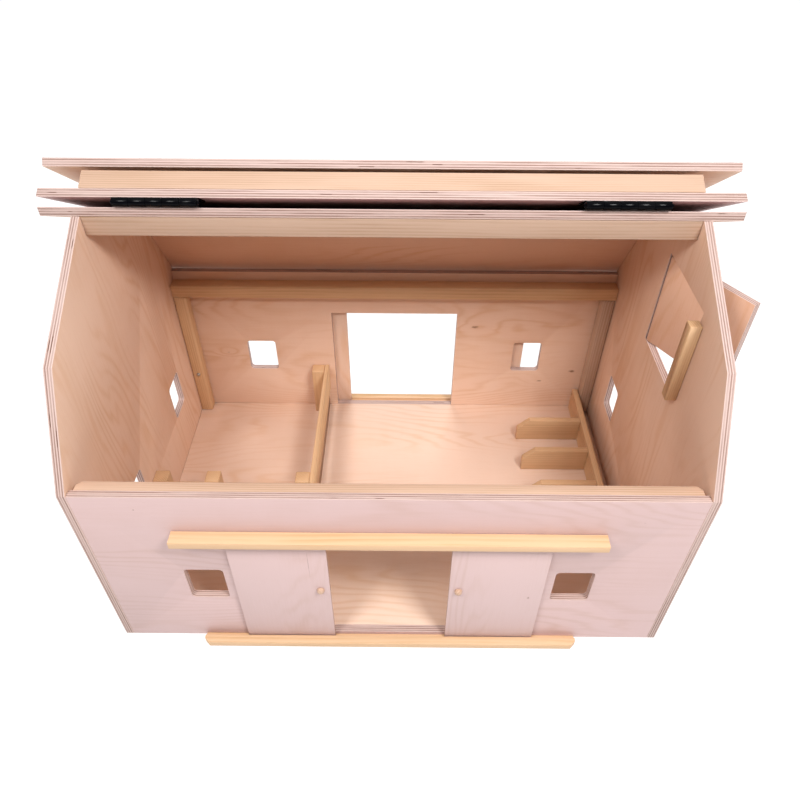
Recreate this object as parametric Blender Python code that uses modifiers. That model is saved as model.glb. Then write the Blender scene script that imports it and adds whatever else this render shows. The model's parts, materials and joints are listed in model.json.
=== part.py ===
"""Toy barn in birch plywood with a folding gambrel roof, in metres, +Z up.

The origin is the middle of the floor panel's underside. +X runs along the ridge to the right-hand
gable, and the front wall faces -Y. The front half of the roof is drawn shut, and the empties on its
two hinge lines then fold it up and back over the rear half.
"""
import math

import bmesh
import bpy
from mathutils import Matrix, Vector

# ---- overall shape ----------------------------------------------------------------------------
WIDTH = 0.660                 # over the outer faces of the two gables
DEPTH = 0.424                 # over the outer faces of the front and rear walls
EAVE_HEIGHT = 0.266
KNEE_HEIGHT = 0.377           # where the steep roof slope meets the shallow one
KNEE_RUN = 0.066              # how far the knee stands in from the wall
UPPER_PITCH = math.radians(29.0)
PLY = 0.009                   # thickness of every plywood panel
GAP = 0.0003                  # between pieces that touch
SEAM = 0.0006                 # between panels that meet edge to edge

# ---- roof ------------------------------------------------------------------------------------
GABLE_OVERHANG = 0.0315
EAVE_OVERHANG = 0.025
RIDGE_STICK_DEPTH = 0.019     # the ridge beam and the batten that meets it
RIDGE_STICK_HEIGHT = 0.022
RIDGE_BATTEN_CLEARANCE = 0.0006    # from each end of the batten to the gable
FOLD_CLEARANCE = 0.0036       # between the folded lower panel and the batten under it
REST_CLEARANCE = 0.0004       # between the folded upper panel and the rear one that it rests on

# ---- hinges ----------------------------------------------------------------------------------
HINGE_LENGTH = 0.086
HINGE_CENTRE = 0.2395         # from the middle of the roof
LEAF_WIDTH = 0.030
LEAF_THICKNESS = 0.0016
HINGE_RISE = 0.0051           # from the face that a leaf lies on to the pin's axis
PIN_RADIUS = 0.0018
KNUCKLES = 5
HINGE_SIDES = 20

# ---- openings in walls and gables --------------------------------------------------------------
DOORWAY_WIDTH = 0.190
DOORWAY_TOP = 0.195
WINDOW_WIDTH = 0.044
WINDOW_HEIGHT = 0.056
WINDOW_SILL = 0.085
WINDOW_CORNER = 0.005
WALL_WINDOW_OFFSET = 0.208    # from the middle of the wall to a window's middle
GABLE_WINDOW_REAR = 0.107     # middle of the rear window, measured along Y
GABLE_WINDOW_FRONT = -0.084
CORNER_STEPS = 5

# ---- loft door ---------------------------------------------------------------------------------
LOFT_WIDTH = 0.118
LOFT_CENTRE = -0.005
LOFT_SILL = 0.267
LOFT_HEIGHT = 0.122
LOFT_CLEARANCE = 0.0015
LOFT_OPEN = math.radians(32.0)
LOFT_PIN_RADIUS = 0.0014
LOFT_PIN_LENGTH = 0.020
STOP_BAR = 0.013
STOP_BAR_OVERLAP = 0.0025     # how far the bar covers the opening's edge
STOP_BAR_BOTTOM = 0.276
STOP_BAR_LENGTH = 0.102

# ---- battens and posts -------------------------------------------------------------------------
POST = 0.019
POST_EDGE = 0.003
FRONT_BATTEN_DEPTH = 0.012
FRONT_BATTEN_HEIGHT = 0.019
FRONT_BATTEN_END = 0.0045     # space left at each end of the front batten
REAR_BATTEN_HEIGHT = 0.0195
REAR_BATTEN_DROP = 0.013      # from the eave to the top of the rear batten
BATTEN_ROUND = 0.005

# ---- sliding doors -------------------------------------------------------------------------------
TRACK_LENGTH = 0.456
TRACK_DEPTH = 0.016
TRACK_HEIGHT = 0.0095
TRACK_ROUND = 0.006
RABBET_HEIGHT = 0.005         # step cut along a track's wall side, which the door runs in
DOOR_THICKNESS = 0.004
DOOR_WIDTH = 0.107
DOOR_PLAY = 0.0007            # on each side of a door in its rabbet
DOOR_LIFT = 0.0005            # under a door
UPPER_TRACK_BOTTOM = 0.203
DOOR_TOP_PLAY = 0.0015
FRONT_DOOR_SHIFT = 0.067      # how far each front door stands open
REAR_DOOR_SHIFTS = {"left": 0.0725, "right": 0.096}
DOOR_MEETING = 0.0005         # half the gap where two shut doors meet
KNOB_RADIUS = 0.0043
KNOB_HEIGHT = 0.0052
KNOB_INSET = 0.0105           # from a door's leading edge
KNOB_LEVEL = 0.111

# ---- stall fences and rack -----------------------------------------------------------------------
FENCE_TOP = 0.095
FENCE_BOARD = 0.0065
FENCE_BOARD_HEIGHT = 0.046
KICK_RAIL = 0.0032
KICK_RAIL_HEIGHT = 0.0185
FENCE_LINE_X = -0.1115        # the face of the long fence's posts that carries the board
FENCE_FRONT_Y = -0.044        # the front face of all the front posts
GATE_POST_X = -0.242
RACK_INSET = 0.0295            # from the gable to the open side of the rack's back board
RACK_BOARD = 0.009
RACK_HEIGHT = 0.0405
RACK_END_GAP = 0.004          # between the back board and the rear wall
DIVIDER_COUNT = 4
DIVIDER_PITCH = 0.064
DIVIDER_FIRST_Y = 0.1270      # middle of the rearmost divider
DIVIDER_LENGTH = 0.0962
DIVIDER_CHAMFER = 0.0175

SCREW_RADIUS = 0.0030
SCREW_LEVEL = 0.088

# ---- worked out ----------------------------------------------------------------------------------
HALF_WIDTH = WIDTH / 2
HALF_DEPTH = DEPTH / 2
INNER_X = HALF_WIDTH - PLY
INNER_Y = HALF_DEPTH - PLY
KNEE_Y = HALF_DEPTH - KNEE_RUN
RIDGE_HEIGHT = KNEE_HEIGHT + KNEE_Y * math.tan(UPPER_PITCH)
LOWER_PITCH = math.atan2(KNEE_HEIGHT - EAVE_HEIGHT, KNEE_RUN)
KNEE_BEND = LOWER_PITCH - UPPER_PITCH
FLOOR_TOP = PLY
ROOF_LENGTH = WIDTH + 2 * GABLE_OVERHANG
BARREL_RADIUS = HINGE_RISE - GAP
RACK_FACE_X = INNER_X - RACK_INSET
RACK_REAR_Y = INNER_Y - RACK_END_GAP

COLOURS = {
    "ply": ((0.80, 0.63, 0.52), 0.55, 0.0),
    "solid_wood": ((0.86, 0.62, 0.38), 0.5, 0.0),
    "dark_wood": ((0.45, 0.28, 0.17), 0.6, 0.0),
    "black_enamel": ((0.012, 0.012, 0.014), 0.18, 0.6),
    "steel": ((0.55, 0.55, 0.57), 0.35, 1.0),
}


def clear_scene():
    for obj in list(bpy.data.objects):
        bpy.data.objects.remove(obj, do_unlink=True)


def new_collection(name):
    collection = bpy.data.collections.new(name)
    bpy.context.scene.collection.children.link(collection)
    return collection


def material(name):
    found = bpy.data.materials.get(name)
    if found:
        return found
    colour, roughness, metallic = COLOURS[name]
    made = bpy.data.materials.new(name)
    made.use_nodes = True
    shader = made.node_tree.nodes["Principled BSDF"]
    shader.inputs["Base Color"].default_value = (*colour, 1.0)
    shader.inputs["Roughness"].default_value = roughness
    shader.inputs["Metallic"].default_value = metallic
    return made


def add_object(name, data, finish):
    obj = bpy.data.objects.new(name, data)
    PARTS.objects.link(obj)
    obj.data.materials.append(material(finish))
    return obj


def box(name, low, high, finish, edge=0.0):
    """A box between two corners, its edges eased by a bevel when edge is given."""
    low, high = Vector(low), Vector(high)
    mesh = bpy.data.meshes.new(name)
    bm = bmesh.new()
    bmesh.ops.create_cube(bm, size=1.0)
    bmesh.ops.scale(bm, vec=high - low, verts=bm.verts)
    bm.to_mesh(mesh)
    bm.free()
    obj = add_object(name, mesh, finish)
    obj.location = (low + high) / 2
    if edge:
        bevel = obj.modifiers.new("eased_edges", "BEVEL")
        bevel.width = edge
        bevel.segments = 2
    return obj


def rounded_rectangle(left, bottom, right, top, radius):
    """Corner arcs joined by straight sides, anticlockwise from the bottom right corner."""
    centres = ((right - radius, bottom + radius, -90), (right - radius, top - radius, 0),
               (left + radius, top - radius, 90), (left + radius, bottom + radius, 180))
    points = []
    for x, y, start in centres:
        for step in range(CORNER_STEPS + 1):
            angle = math.radians(start + 90 * step / CORNER_STEPS)
            points.append((x + radius * math.cos(angle), y + radius * math.sin(angle)))
    return points


def rectangle(left, bottom, right, top):
    return [(left, bottom), (right, bottom), (right, top), (left, top)]


def flat_piece(name, outlines, thickness, matrix, finish):
    """A closed plate from one outline and its holes, thickness centred on the outline's plane."""
    curve = bpy.data.curves.new(name, "CURVE")
    curve.dimensions = "2D"
    curve.fill_mode = "BOTH"
    curve.extrude = thickness / 2
    for outline in outlines:
        spline = curve.splines.new("POLY")
        spline.points.add(len(outline) - 1)
        for point, (x, y) in zip(spline.points, outline):
            point.co = (x, y, 0.0, 1.0)
        spline.use_cyclic_u = True
    shape = bpy.data.objects.new(name + "_outline", curve)
    PARTS.objects.link(shape)
    shape.matrix_world = matrix
    bpy.context.view_layer.update()
    graph = bpy.context.evaluated_depsgraph_get()
    mesh = bpy.data.meshes.new_from_object(shape.evaluated_get(graph))
    bm = bmesh.new()
    bm.from_mesh(mesh)
    bmesh.ops.remove_doubles(bm, verts=bm.verts, dist=0.00002)
    bmesh.ops.recalc_face_normals(bm, faces=bm.faces)
    bm.to_mesh(mesh)
    bm.free()
    mesh.materials.clear()
    obj = add_object(name, mesh, finish)
    obj.matrix_world = shape.matrix_world
    bpy.data.objects.remove(shape, do_unlink=True)
    return obj


def profile_frame(x=0.0):
    """Maps an outline drawn as (y, z) onto a plane across X."""
    return Matrix.Translation((x, 0, 0)) @ Matrix(((0, 0, 1, 0), (1, 0, 0, 0), (0, 1, 0, 0), (0, 0, 0, 1)))


def wall_frame(y):
    """Maps an outline drawn as (x, z) onto a plane across Y."""
    return Matrix.Translation((0, y, 0)) @ Matrix.Rotation(math.pi / 2, 4, "X")


def cylinder_cutter(name, radius, length, matrix, sides=HINGE_SIDES):
    mesh = bpy.data.meshes.new(name)
    bm = bmesh.new()
    bmesh.ops.create_cone(bm, cap_ends=True, segments=sides, radius1=radius, radius2=radius, depth=length)
    bm.to_mesh(mesh)
    bm.free()
    tool = bpy.data.objects.new(name, mesh)
    TOOLS.objects.link(tool)
    tool.matrix_world = matrix
    tool.hide_render = True
    tool.display_type = "WIRE"
    return tool


def box_cutter(name, low, high):
    low, high = Vector(low), Vector(high)
    mesh = bpy.data.meshes.new(name)
    bm = bmesh.new()
    bmesh.ops.create_cube(bm, size=1.0)
    bmesh.ops.scale(bm, vec=high - low, verts=bm.verts)
    bm.to_mesh(mesh)
    bm.free()
    tool = bpy.data.objects.new(name, mesh)
    TOOLS.objects.link(tool)
    tool.location = (low + high) / 2
    tool.hide_render = True
    tool.display_type = "WIRE"
    return tool


def combine(obj, tool, operation):
    step = obj.modifiers.new(operation.lower(), "BOOLEAN")
    step.operation = operation
    step.solver = "EXACT"
    step.object = tool


def turned(name, profile, matrix, finish, steps=20):
    """A solid of revolution about its local Z from (radius, height) points, top to bottom."""
    mesh = bpy.data.meshes.new(name)
    bm = bmesh.new()
    verts = [bm.verts.new((radius, 0, height)) for radius, height in profile]
    for first, second in zip(verts, verts[1:]):
        bm.edges.new((first, second))
    bm.to_mesh(mesh)
    bm.free()
    obj = add_object(name, mesh, finish)
    obj.matrix_world = matrix
    screw = obj.modifiers.new("turn", "SCREW")
    screw.steps = steps
    screw.render_steps = steps
    screw.use_merge_vertices = True
    screw.merge_threshold = 0.00001
    screw.use_smooth_shade = True
    return obj


def dome_profile(radius, height, rings=4):
    """Top centre, round shoulder, and down the side to the base's centre."""
    points = [(radius * math.sin(math.pi / 2 * i / rings),
               height * (0.35 + 0.65 * math.cos(math.pi / 2 * i / rings))) for i in range(rings + 1)]
    return points + [(radius, 0.0), (0.0, 0.0)]


# ---- roof geometry, in (y, z) for the rear half; the front half mirrors y ------------------------
def down_slope(pitch):
    return Vector((math.cos(pitch), -math.sin(pitch)))


def outward(pitch):
    return Vector((math.sin(pitch), math.cos(pitch)))


def knee_point(offset):
    """The knee of the gable's outline moved outwards by offset."""
    bisector = outward(UPPER_PITCH + KNEE_BEND / 2)
    return Vector((KNEE_Y, KNEE_HEIGHT)) + bisector * offset / math.cos(KNEE_BEND / 2)


def ridge_point(offset, y=0.0):
    """A point of the upper slope moved outwards by offset, at a given y."""
    start = Vector((0.0, RIDGE_HEIGHT + offset / math.cos(UPPER_PITCH)))
    return start + down_slope(UPPER_PITCH) * y / math.cos(UPPER_PITCH)


def mirrored(points):
    return [(-y, z) for y, z in reversed(points)]


def upper_panel_profile():
    inner, outer = GAP, GAP + PLY
    seam = down_slope(UPPER_PITCH) * SEAM / 2
    return [ridge_point(inner, SEAM / 2), knee_point(inner) - seam, knee_point(outer) - seam,
            ridge_point(outer, SEAM / 2)]


def lower_panel_profile():
    inner, outer = GAP, GAP + PLY
    seam = down_slope(LOWER_PITCH) * SEAM / 2
    eave = Vector((HALF_DEPTH, EAVE_HEIGHT)) + down_slope(LOWER_PITCH) * EAVE_OVERHANG
    return [knee_point(inner) + seam, eave + outward(LOWER_PITCH) * inner,
            eave + outward(LOWER_PITCH) * outer, knee_point(outer) + seam]


def ridge_stick_profile():
    """Upright face on the ridge plane, top planed to the roof's pitch."""
    near, far = SEAM / 2, SEAM / 2 + RIDGE_STICK_DEPTH
    bottom = RIDGE_HEIGHT - RIDGE_STICK_HEIGHT
    return [(near, bottom), (far, bottom), tuple(ridge_point(0.0, far)), tuple(ridge_point(0.0, near))]


def hinge_axes():
    """The ridge hinges' axis and the front knee hinges' axis, shut, as (y, z)."""
    ridge = ridge_point(GAP + PLY + HINGE_RISE)
    knee = knee_point(GAP - HINGE_RISE)
    return ridge, Vector((-knee.x, knee.y))


def ridge_fold():
    """How far the upper panel turns at the ridge until its far edge rests on the rear roof."""
    ridge = ridge_point(GAP + PLY + HINGE_RISE)
    far = knee_point(GAP + PLY) - ridge
    reach = far.length
    return (math.pi + 2 * UPPER_PITCH + math.asin(HINGE_RISE / reach)
            + math.asin((HINGE_RISE - REST_CLEARANCE) / reach))


def knee_fold():
    """How far the lower panel turns at the knee until it rests on the ridge batten."""
    corner = Vector((SEAM / 2, RIDGE_HEIGHT - RIDGE_STICK_HEIGHT))
    pivot = knee_point(GAP - HINGE_RISE)
    along = (corner - pivot).dot(-down_slope(UPPER_PITCH))
    across = (corner - pivot).dot(-outward(UPPER_PITCH))
    reach = math.hypot(along, across)
    angle_left = math.atan2(across, along) - math.asin((HINGE_RISE - GAP - FOLD_CLEARANCE) / reach)
    return math.pi - KNEE_BEND - angle_left


# ---- pieces ----------------------------------------------------------------------------------
def gable_outline():
    half = [(HALF_DEPTH, 0.0), (HALF_DEPTH, EAVE_HEIGHT), (KNEE_Y, KNEE_HEIGHT)]
    return half + [(0.0, RIDGE_HEIGHT)] + [(-y, z) for y, z in reversed(half)]


def window_outline(centre):
    return rounded_rectangle(centre - WINDOW_WIDTH / 2, WINDOW_SILL, centre + WINDOW_WIDTH / 2,
                             WINDOW_SILL + WINDOW_HEIGHT, WINDOW_CORNER)


def loft_edges():
    return LOFT_CENTRE - LOFT_WIDTH / 2, LOFT_CENTRE + LOFT_WIDTH / 2


def loft_pivot():
    """The loft door turns about an upright axis inside the gable's thickness."""
    rear = loft_edges()[1]
    return Vector((HALF_WIDTH - PLY / 2, rear - LOFT_CLEARANCE - PLY / 2, 0.0))


def make_gables():
    flat_piece("left_gable", [gable_outline(), window_outline(GABLE_WINDOW_REAR),
                              window_outline(GABLE_WINDOW_FRONT)],
               PLY, profile_frame(-HALF_WIDTH + PLY / 2), "ply")
    front, rear = loft_edges()
    opening = rectangle(front, LOFT_SILL, rear, LOFT_SILL + LOFT_HEIGHT)
    gable = flat_piece("right_gable", [gable_outline(), window_outline(GABLE_WINDOW_REAR), opening],
                       PLY, profile_frame(HALF_WIDTH - PLY / 2), "ply")
    for level, name in ((LOFT_SILL, "lower"), (LOFT_SILL + LOFT_HEIGHT, "upper")):
        place = Matrix.Translation(loft_pivot() + Vector((0, 0, level)))
        tool = cylinder_cutter(f"loft_{name}_pin_hole", LOFT_PIN_RADIUS + GAP,
                               LOFT_PIN_LENGTH + 2 * GAP, place)
        combine(gable, tool, "DIFFERENCE")


def wall_outlines():
    half = INNER_X - GAP
    doorway = rectangle(-DOORWAY_WIDTH / 2, FLOOR_TOP, DOORWAY_WIDTH / 2, DOORWAY_TOP)
    return [rectangle(-half, 0.0, half, EAVE_HEIGHT - GAP), doorway,
            window_outline(-WALL_WINDOW_OFFSET), window_outline(WALL_WINDOW_OFFSET)]


def make_walls():
    for name, side in (("front_wall", -1), ("rear_wall", 1)):
        flat_piece(name, wall_outlines(), PLY, wall_frame(side * (HALF_DEPTH - PLY / 2)), "ply")
    box("floor_panel", (-INNER_X + GAP, -INNER_Y + GAP, 0.0), (INNER_X - GAP, INNER_Y - GAP, FLOOR_TOP), "ply")


def make_battens_and_posts():
    half = INNER_X - FRONT_BATTEN_END
    near, far = -INNER_Y + GAP, -INNER_Y + GAP + FRONT_BATTEN_DEPTH
    front_bottom = EAVE_HEIGHT - GAP - FRONT_BATTEN_HEIGHT
    plan = [(-half, near), (half, near), (half, far - BATTEN_ROUND), (half - BATTEN_ROUND, far),
            (-half + BATTEN_ROUND, far), (-half, far - BATTEN_ROUND)]
    flat_piece("front_top_batten", [plan], FRONT_BATTEN_HEIGHT,
               Matrix.Translation((0, 0, front_bottom + FRONT_BATTEN_HEIGHT / 2)), "solid_wood")
    rear_top = EAVE_HEIGHT - REAR_BATTEN_DROP
    rear_bottom = rear_top - REAR_BATTEN_HEIGHT
    box("rear_top_batten", (-INNER_X + GAP, INNER_Y - GAP - POST, rear_bottom),
        (INNER_X - GAP, INNER_Y - GAP, rear_top), "solid_wood", edge=0.001)
    for side, x in (("left", -INNER_X + GAP), ("right", INNER_X - GAP - POST)):
        box(f"rear_{side}_corner_post", (x, INNER_Y - GAP - POST, FLOOR_TOP + GAP),
            (x + POST, INNER_Y - GAP, rear_bottom - GAP), "solid_wood", edge=POST_EDGE)
        box(f"front_{side}_corner_post", (x, -INNER_Y + GAP, FLOOR_TOP + GAP),
            (x + POST, -INNER_Y + GAP + POST, front_bottom - GAP), "solid_wood", edge=POST_EDGE)
    head = Matrix.Translation((-INNER_X + GAP + POST / 2, INNER_Y - 2 * GAP - POST, SCREW_LEVEL))
    turned("corner_post_screw", dome_profile(SCREW_RADIUS, SCREW_RADIUS * 0.8),
           head @ Matrix.Rotation(math.pi / 2, 4, "X"), "steel", steps=16)


def make_fixed_roof():
    flat_piece("rear_upper_roof", [upper_panel_profile()], ROOF_LENGTH, profile_frame(), "ply")
    flat_piece("rear_lower_roof", [lower_panel_profile()], ROOF_LENGTH, profile_frame(), "ply")
    flat_piece("ridge_beam", [ridge_stick_profile()], 2 * (INNER_X - GAP), profile_frame(), "solid_wood")


def make_folding_roof(upper_axis, lower_axis):
    upper = flat_piece("front_upper_roof", [mirrored(upper_panel_profile())], ROOF_LENGTH,
                       profile_frame(), "ply")
    batten = flat_piece("ridge_batten", [mirrored(ridge_stick_profile())],
                        2 * (INNER_X - RIDGE_BATTEN_CLEARANCE), profile_frame(), "solid_wood")
    lower = flat_piece("front_lower_roof", [mirrored(lower_panel_profile())], ROOF_LENGTH,
                       profile_frame(), "ply")
    hang_on(upper_axis, [upper, batten])
    hang_on(lower_axis, [lower])


def leaf_profile():
    """Barrel and plate in one outline, drawn as (along the leaf, up from it), the pin at the origin."""
    shoulder = math.acos((BARREL_RADIUS - LEAF_THICKNESS) / BARREL_RADIUS)
    turn = 2 * math.pi - shoulder
    arc = [(BARREL_RADIUS * math.sin(shoulder + turn * i / HINGE_SIDES),
            -BARREL_RADIUS * math.cos(shoulder + turn * i / HINGE_SIDES)) for i in range(HINGE_SIDES + 1)]
    return arc + [(LEAF_WIDTH, -BARREL_RADIUS), (LEAF_WIDTH, -BARREL_RADIUS + LEAF_THICKNESS)]


def circle(radius, sides=HINGE_SIDES):
    return [(radius * math.cos(2 * math.pi * i / sides), radius * math.sin(2 * math.pi * i / sides))
            for i in range(sides)]


def hinge_leaf(name, own, matrix):
    """One leaf with its own knuckles, the others' places cut away."""
    leaf = flat_piece(name, [leaf_profile(), circle(PIN_RADIUS + GAP)], HINGE_LENGTH,
                      matrix @ profile_frame(), "black_enamel")
    step = HINGE_LENGTH / KNUCKLES
    reach = 3 * BARREL_RADIUS
    for knuckle in range(KNUCKLES):
        if knuckle not in own:
            left = -HINGE_LENGTH / 2 + knuckle * step - (GAP / 2 if knuckle else reach)
            right = -HINGE_LENGTH / 2 + (knuckle + 1) * step + (GAP / 2 if knuckle < KNUCKLES - 1 else reach)
            tool = box_cutter(f"{name}_notch_{knuckle}", (left, -reach, -reach),
                              (right, BARREL_RADIUS + 2 * GAP, reach))
            tool.matrix_world = matrix @ tool.matrix_basis
            combine(leaf, tool, "DIFFERENCE")
            leaf_tools(leaf).append(tool)
    return leaf


LEAF_TOOLS = {}


def leaf_tools(leaf):
    return LEAF_TOOLS.setdefault(leaf.name, [])


def hinge_pin(name, matrix):
    radius, half = PIN_RADIUS, HINGE_LENGTH / 2
    cap = radius * 1.6
    profile = [(0.0, half + cap * 0.8), (cap * 0.7, half + cap * 0.6), (cap, half + GAP), (radius, half + GAP),
               (radius, -half - GAP), (cap, -half - GAP), (cap * 0.7, -half - cap * 0.6), (0.0, -half - cap * 0.8)]
    return turned(name, profile, matrix @ Matrix.Rotation(math.pi / 2, 4, "Y"), "black_enamel", steps=16)


def frame_of(origin, along, normal):
    """A matrix whose local Y runs along a leaf and local Z stands up from it."""
    y_axis = Vector((0.0, along.x, along.y))
    z_axis = Vector((0.0, normal.x, normal.y))
    x_axis = y_axis.cross(z_axis)
    rows = Matrix((x_axis, y_axis, z_axis)).transposed().to_4x4()
    return Matrix.Translation((origin[0], origin[1], origin[2])) @ rows


def flip(vector):
    return Vector((-vector.x, vector.y))


def make_hinges(upper_axis, lower_axis):
    ridge, knee = hinge_axes()
    outer_knuckles = list(range(0, KNUCKLES, 2))
    inner_knuckles = list(range(1, KNUCKLES, 2))
    along, normal = down_slope(UPPER_PITCH), outward(UPPER_PITCH)
    low_along, low_normal = down_slope(LOWER_PITCH), outward(LOWER_PITCH)
    for side, x in (("left", -HINGE_CENTRE), ("right", HINGE_CENTRE)):
        at_ridge = (x, ridge.x, ridge.y)
        at_knee = (x, knee.x, knee.y)
        hinge_leaf(f"{side}_ridge_hinge_fixed_leaf", outer_knuckles, frame_of(at_ridge, along, normal))
        hinge_pin(f"{side}_ridge_hinge_pin", Matrix.Translation(at_ridge))
        swing = hinge_leaf(f"{side}_ridge_hinge_swinging_leaf", inner_knuckles,
                           frame_of(at_ridge, flip(along), flip(normal)))
        upper = hinge_leaf(f"{side}_knee_hinge_upper_leaf", outer_knuckles,
                           frame_of(at_knee, -flip(along), -flip(normal)))
        pin = hinge_pin(f"{side}_knee_hinge_pin", Matrix.Translation(at_knee))
        lower = hinge_leaf(f"{side}_knee_hinge_lower_leaf", inner_knuckles,
                           frame_of(at_knee, flip(low_along), -flip(low_normal)))
        hang_on(upper_axis, [swing, upper, pin])
        hang_on(lower_axis, [lower])


def hang_on(axis, pieces):
    """Parents pieces, and the tools that shape them, to an empty without moving them."""
    for piece in pieces:
        for obj in [piece] + LEAF_TOOLS.get(piece.name, []):
            place = obj.matrix_world.copy()
            obj.parent = axis
            obj.matrix_parent_inverse = axis.matrix_world.inverted()
            obj.matrix_basis = place


def new_axis(name, location, parent=None):
    axis = bpy.data.objects.new(name, None)
    PARTS.objects.link(axis)
    axis.location = location
    if parent:
        axis.parent = parent
        axis.matrix_parent_inverse = parent.matrix_world.inverted()
    bpy.context.view_layer.update()
    return axis


def make_tracks():
    half = TRACK_LENGTH / 2
    low, high = -half, half
    for wall, side in (("front", -1), ("rear", 1)):
        near = side * (HALF_DEPTH + GAP)
        far = near + side * TRACK_DEPTH
        cut = near + side * (DOOR_THICKNESS + 2 * DOOR_PLAY)
        plan = [(low, near), (low, far - side * TRACK_ROUND), (low + TRACK_ROUND, far),
                (high - TRACK_ROUND, far), (high, far - side * TRACK_ROUND), (high, near)]
        for level, bottom, step in (("lower", 0.0, TRACK_HEIGHT - RABBET_HEIGHT),
                                    ("upper", UPPER_TRACK_BOTTOM, 0.0)):
            outline = plan if level == "lower" else rectangle(low, min(near, far), high, max(near, far))
            track = flat_piece(f"{wall}_{level}_track", [outline], TRACK_HEIGHT,
                               Matrix.Translation((0, 0, bottom + TRACK_HEIGHT / 2)), "solid_wood")
            floor = bottom + step if level == "lower" else bottom - RABBET_HEIGHT
            margin = TRACK_DEPTH
            tool = box_cutter(f"{wall}_{level}_rabbet", (low - margin, min(near - side * margin, cut), floor),
                              (high + margin, max(near - side * margin, cut), floor + 2 * RABBET_HEIGHT))
            combine(track, tool, "DIFFERENCE")


def make_sliding_doors():
    bottom = TRACK_HEIGHT - RABBET_HEIGHT + DOOR_LIFT
    top = UPPER_TRACK_BOTTOM + RABBET_HEIGHT - DOOR_TOP_PLAY
    for wall, facing in (("front", -1), ("rear", 1)):
        near = facing * (HALF_DEPTH + GAP + DOOR_PLAY)
        far = near + facing * DOOR_THICKNESS
        for side, hand in (("left", -1), ("right", 1)):
            shift = FRONT_DOOR_SHIFT if wall == "front" else REAR_DOOR_SHIFTS[side]
            lead = hand * (DOOR_MEETING + shift)
            trail = lead + hand * DOOR_WIDTH
            box(f"{wall}_{side}_door", (min(lead, trail), min(near, far), bottom),
                (max(lead, trail), max(near, far), top), "ply")
            face = Matrix.Translation((lead + hand * KNOB_INSET, far + facing * GAP, KNOB_LEVEL))
            turned(f"{wall}_{side}_door_knob", dome_profile(KNOB_RADIUS, KNOB_HEIGHT),
                   face @ Matrix.Rotation(-facing * math.pi / 2, 4, "X"), "solid_wood", steps=16)


def make_loft_door():
    pivot = loft_pivot()
    axis = new_axis("loft_axis", pivot)
    front = loft_edges()[0]
    radius = PLY / 2
    arc = [(pivot.x + radius * math.cos(math.pi * i / 8), pivot.y + radius * math.sin(math.pi * i / 8))
           for i in range(9)]
    free = front + LOFT_CLEARANCE
    plan = arc + [(pivot.x - radius, free), (pivot.x + radius, free)]
    bottom = LOFT_SILL + LOFT_CLEARANCE
    height = LOFT_HEIGHT - 2 * LOFT_CLEARANCE
    door = flat_piece("loft_door", [plan], height, Matrix.Translation((0, 0, bottom + height / 2)), "ply")
    LEAF_TOOLS[door.name] = []
    for name, level in (("lower", LOFT_SILL), ("upper", LOFT_SILL + LOFT_HEIGHT)):
        place = Matrix.Translation((pivot.x, pivot.y, level))
        tool = cylinder_cutter(f"loft_door_{name}_hole", LOFT_PIN_RADIUS + GAP, LOFT_PIN_LENGTH + 2 * GAP, place)
        combine(door, tool, "DIFFERENCE")
        LEAF_TOOLS[door.name].append(tool)
        half = LOFT_PIN_LENGTH / 2
        profile = [(0.0, half), (LOFT_PIN_RADIUS, half), (LOFT_PIN_RADIUS, -half), (0.0, -half)]
        turned(f"loft_door_{name}_pin", profile, place, "steel", steps=12)
    hang_on(axis, [door])
    axis.rotation_euler.z = LOFT_OPEN
    inner = INNER_X - GAP
    box("loft_stop_bar", (inner - STOP_BAR, front + STOP_BAR_OVERLAP - STOP_BAR, STOP_BAR_BOTTOM),
        (inner, front + STOP_BAR_OVERLAP, STOP_BAR_BOTTOM + STOP_BAR_LENGTH), "solid_wood", edge=0.0008)


def make_fences():
    base = FLOOR_TOP + GAP
    rear_end = INNER_Y - GAP
    post_rows = {"long_fence_front_post": (FENCE_LINE_X - POST, FENCE_FRONT_Y),
                 "long_fence_rear_post": (FENCE_LINE_X - POST, rear_end - POST),
                 "gate_wall_post": (-INNER_X + GAP, FENCE_FRONT_Y),
                 "gate_post": (GATE_POST_X - POST / 2, FENCE_FRONT_Y)}
    for name, (x, y) in post_rows.items():
        box(name, (x, y, base), (x + POST, y + POST, FENCE_TOP), "solid_wood", edge=0.001)
    board_low = FENCE_TOP - FENCE_BOARD_HEIGHT
    side = FENCE_LINE_X + GAP
    box("long_fence_board", (side, FENCE_FRONT_Y, board_low), (side + FENCE_BOARD, rear_end, FENCE_TOP),
        "solid_wood", edge=0.0008)
    box("long_fence_kick_rail", (side, FENCE_FRONT_Y, base), (side + KICK_RAIL, rear_end, base + KICK_RAIL_HEIGHT),
        "dark_wood")
    face = FENCE_FRONT_Y - GAP
    left, right = -INNER_X + GAP, GATE_POST_X + POST / 2
    box("gate_board", (left, face - FENCE_BOARD, board_low), (right, face, FENCE_TOP), "solid_wood", edge=0.0008)
    box("gate_kick_rail", (left, face - KICK_RAIL, base), (right, face, base + KICK_RAIL_HEIGHT), "dark_wood")


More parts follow.
